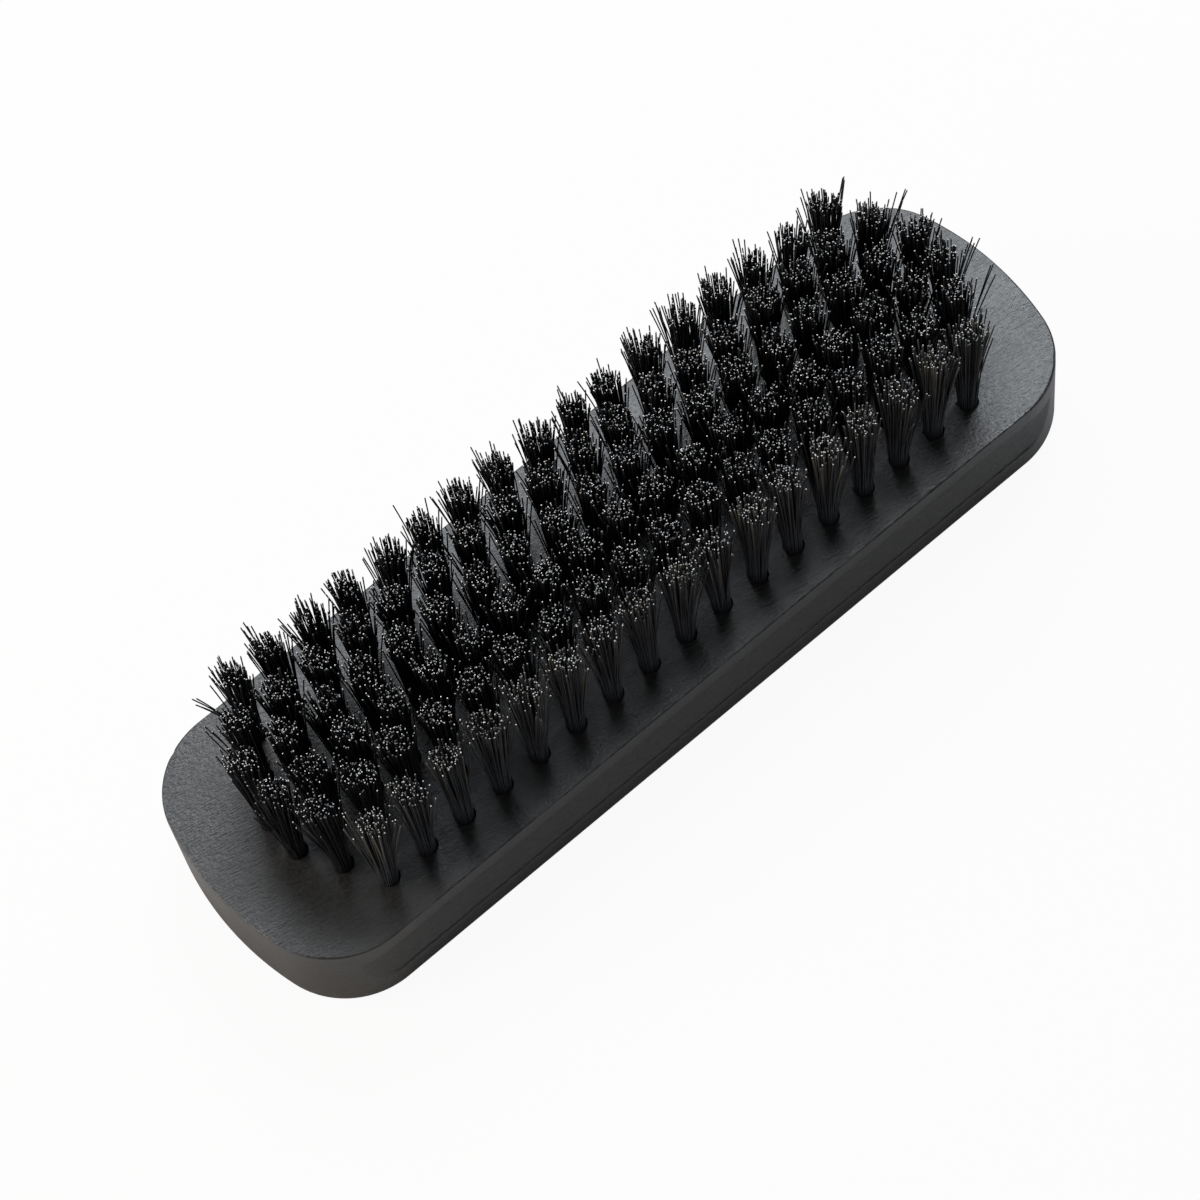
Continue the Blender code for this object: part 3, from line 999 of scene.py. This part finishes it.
class BRUSH_OT_bristle_rows(bpy.types.Operator):
    """Build the rows of bristle tufts, every filament as a tube"""

    bl_idname = "brush.bristle_rows"
    bl_label = "Bristle rows"

    def execute(self, context):
        tufts = context.scene.brush_tufts
        block = context.scene.brush_block
        rng = np.random.default_rng(SEED)
        for row, centres in enumerate(tuft_rows(tufts), start=1):
            grown = []
            for place, centre in enumerate(centres):
                zone = tuft_zone(row, tufts.rows, place, len(centres))
                grown.append(filament_paths(rng, tufts, block, np.array(centre), zone))
            paths = np.concatenate([path for path, _ in grown])
            strayed = np.concatenate([stray for _, stray in grown])
            tones = rng.random(len(paths)) * np.where(strayed, STRAY_TONE, 1.0)
            tones = (np.floor(tones * TONES) + 0.5) / TONES
            name = f"bristles_row_{row}"
            mesh = tube_mesh(name, paths, tufts.filament_diameter / 2, tones, rng)
            bristles = show(name, mesh, filament_side(tufts, row), filament_end(tufts, row))
            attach(bristles, "root")
            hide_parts(*cad_nodes_of_row(row))
        return {"FINISHED"}


class BRUSH_OT_stage(bpy.types.Operator):
    """Build the floor, the lamps and the camera"""

    bl_idname = "brush.stage"
    bl_label = "Stage"

    def execute(self, context):
        settings = context.scene.brush_stage
        build_floor(settings)
        build_lamps(settings)
        build_sky(settings)
        build_camera(settings)
        context.scene.view_settings.view_transform = "Standard"
        return {"FINISHED"}


def seen_share(paint, camera, glossy):
    """How white a thing looks: camera is to the camera and through clear things, glossy in what shines."""
    path = {}
    for name in ("Is Camera Ray", "Is Glossy Ray", "Is Transmission Ray"):
        path[name] = paint.add("ShaderNodeLightPath", {}, {}, name)
    return (path["Is Camera Ray"] * camera + path["Is Glossy Ray"] * glossy
            + path["Is Transmission Ray"] * camera).clamped()


def build_floor(settings):
    """A round pale floor. To the camera it is mostly white, and still holds some of the shadow."""
    paint = Paint(bpy.data.materials.new("pale_floor"))
    mottle = paint.noise(FLOOR_PATCHES)
    mottled = [c * FLOOR_MOTTLE for c in settings.floor_colour]
    colour = paint.blend(mottle, settings.floor_colour, mottled)
    lit = paint.add("ShaderNodeBsdfDiffuse", {}, {"Color": colour}, "BSDF")
    white = paint.add("ShaderNodeEmission", {}, {"Color": WHITE, "Strength": 1.0}, "Emission")
    share = seen_share(paint, FLOOR_SEEN_WHITE, FLOOR_SHINE_WHITE)
    surface = paint.add("ShaderNodeMixShader", {}, {0: share, 1: lit, 2: white}, "Shader")
    paint.tree.links.new(surface.socket, paint.tree.nodes["Material Output"].inputs["Surface"])
    paint.tree.nodes.remove(paint.shader)
    bm = bmesh.new()
    bmesh.ops.create_circle(bm, cap_ends=True, segments=FLOOR_SIDES, radius=settings.floor_radius)
    mesh = bpy.data.meshes.new("floor")
    bm.to_mesh(mesh)
    bm.free()
    floor = show("floor", mesh, paint.owner)
    floor.location.z = CAD_LOW.z


def build_lamps(settings):
    """A large cool softbox behind on the right, a warm one on the left, and a weak fill from the front."""
    middle = Vector((0, 0, BLOCK_HIGH.z))
    radiances = (settings.softbox_radiance, settings.side_radiance, settings.fill_radiance)
    for (name, (place, size, tint)), radiance in zip(LAMPS.items(), radiances):
        add_softbox(name, middle + Vector(place), middle, size, radiance, tint)


def build_sky(settings):
    """Light from all round: dim on the brush, and white to the camera."""
    sky = Paint(bpy.data.worlds.new("studio"), "Background")
    share = seen_share(sky, SKY_SEEN_WHITE, SKY_SHINE_WHITE)
    strength = sky.between(share, to=(settings.sky, 1.0))
    bpy.context.scene.world = sky.finish(Color=WHITE, Strength=strength)


def add_softbox(name, place, target, size, radiance, tint):
    """A rectangular lamp of that radiance, turned to its target."""
    light = bpy.data.lights.new(name, "AREA")
    light.shape = "RECTANGLE"
    light.size, light.size_y = size
    light.energy = radiance * math.pi * size[0] * size[1]
    light.color = tint
    lamp = bpy.data.objects.new(name, light)
    bpy.context.scene.collection.objects.link(lamp)
    lamp.location = place
    lamp.rotation_mode = "QUATERNION"
    lamp.rotation_quaternion = (target - place).to_track_quat("-Z", "Y")


def build_camera(settings):
    """The camera where the photograph was taken from."""
    data = bpy.data.cameras.new("camera")
    data.lens = settings.lens
    data.sensor_width = CAMERA_SENSOR
    data.clip_start, data.clip_end = CAMERA_CLIP
    camera = bpy.data.objects.new("camera", data)
    bpy.context.scene.collection.objects.link(camera)
    back = -CAMERA_AHEAD.normalized()
    right = (CAMERA_RIGHT - CAMERA_RIGHT.project(back)).normalized()
    up = back.cross(right)
    turn = Matrix((right, up, back)).transposed()
    camera.matrix_world = Matrix.Translation(CAMERA_PLACE) @ turn.to_4x4()
    bpy.context.scene.camera = camera


class BRUSH_PT_panel(bpy.types.Panel):
    """The brush's pieces and their sizes"""

    bl_idname = "BRUSH_PT_panel"
    bl_label = "Cleaning brush"
    bl_space_type = "VIEW_3D"
    bl_region_type = "UI"
    bl_category = "Brush"

    def draw(self, context):
        scene = context.scene
        for operator, settings in (
            (BRUSH_OT_painted_block, scene.brush_block),
            (BRUSH_OT_bristle_rows, scene.brush_tufts),
            (BRUSH_OT_stage, scene.brush_stage),
        ):
            box = self.layout.box()
            box.operator(operator.bl_idname)
            for name in settings.__annotations__:
                box.prop(settings, name)


SETTINGS = {"brush_block": BlockSettings, "brush_tufts": TuftSettings, "brush_stage": StageSettings}
OPERATORS = (BRUSH_OT_painted_block, BRUSH_OT_bristle_rows, BRUSH_OT_stage)
CLASSES = (*SETTINGS.values(), *OPERATORS, BRUSH_PT_panel)


def register():
    for item in CLASSES:
        bpy.utils.register_class(item)
    for name, group in SETTINGS.items():
        setattr(bpy.types.Scene, name, bpy.props.PointerProperty(type=group))


def unregister():
    for name in SETTINGS:
        delattr(bpy.types.Scene, name)
    for item in reversed(CLASSES):
        bpy.utils.unregister_class(item)


def main():
    register()
    bpy.ops.brush.painted_block()
    bpy.ops.brush.bristle_rows()
    bpy.ops.brush.stage()


if __name__ == "__main__":
    main()
